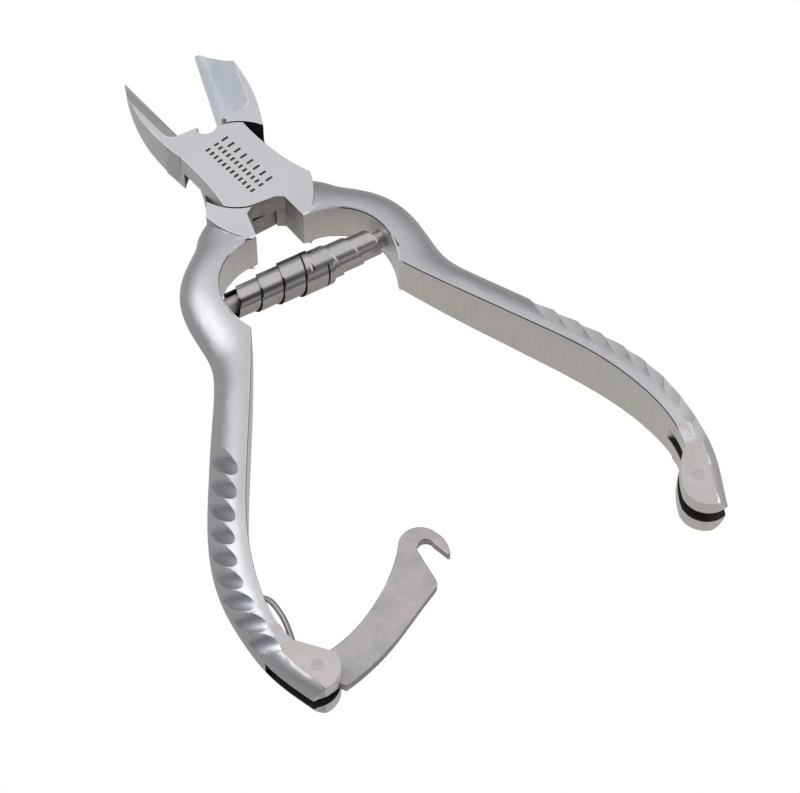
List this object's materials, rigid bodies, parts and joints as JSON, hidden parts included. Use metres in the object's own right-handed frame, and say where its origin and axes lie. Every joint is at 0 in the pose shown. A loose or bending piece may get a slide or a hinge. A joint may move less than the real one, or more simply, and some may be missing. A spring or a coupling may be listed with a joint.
{
  "type": "toenail nipper",
  "caption": "Lap-jointed toenail nipper with hollow-ground jaws, barrel spring, fluted handles and a pivoting latch hook that locks them closed.",
  "frame": {"origin": "on the pivot axis, on the underside of the lap joint", "axes": "+Z along the pivot axis, out of the upper face; +Y towards the jaws; +X towards the handle with the catch pin"},
  "size_m": [0.0734, 0.1139, 0.0097],
  "materials": {
    "lever_steel": "satin brushed stainless steel",
    "latch_steel": "tumbled matte stainless steel",
    "spring_steel": "polished spring steel",
    "pin_steel": "ground flush pin steel"
  },
  "bodies": {
    "latch_lever": {"latch_lever": "lever_steel", "joint_rivet": "pin_steel", "latch_pin": "pin_steel", "latch_spring": "spring_steel", "barrel_spring": "spring_steel", "latch_side_peg": "pin_steel"},
    "catch_lever": {"catch_lever": "lever_steel", "catch_pin": "pin_steel", "catch_side_peg": "pin_steel"},
    "latch": {"latch_hook": "latch_steel"}
  },
  "joints": [
    {"name": "main_pivot", "type": "hinge", "parent": "latch_lever", "child": "catch_lever", "pos_m": [0, 0, 0], "axis": [0, 0, -1], "range_deg": [0, 24.8], "stiffness_Nm_per_rad": 0.6, "springref_deg": -6.88, "deforming": ["barrel_spring"]},
    {"name": "latch_pivot", "type": "hinge", "parent": "latch_lever", "child": "latch", "pos_m": [-0.0304, -0.081, 0.00367], "axis": [0, 0, 1], "range_deg": [-36.2, 30]}
  ]
}
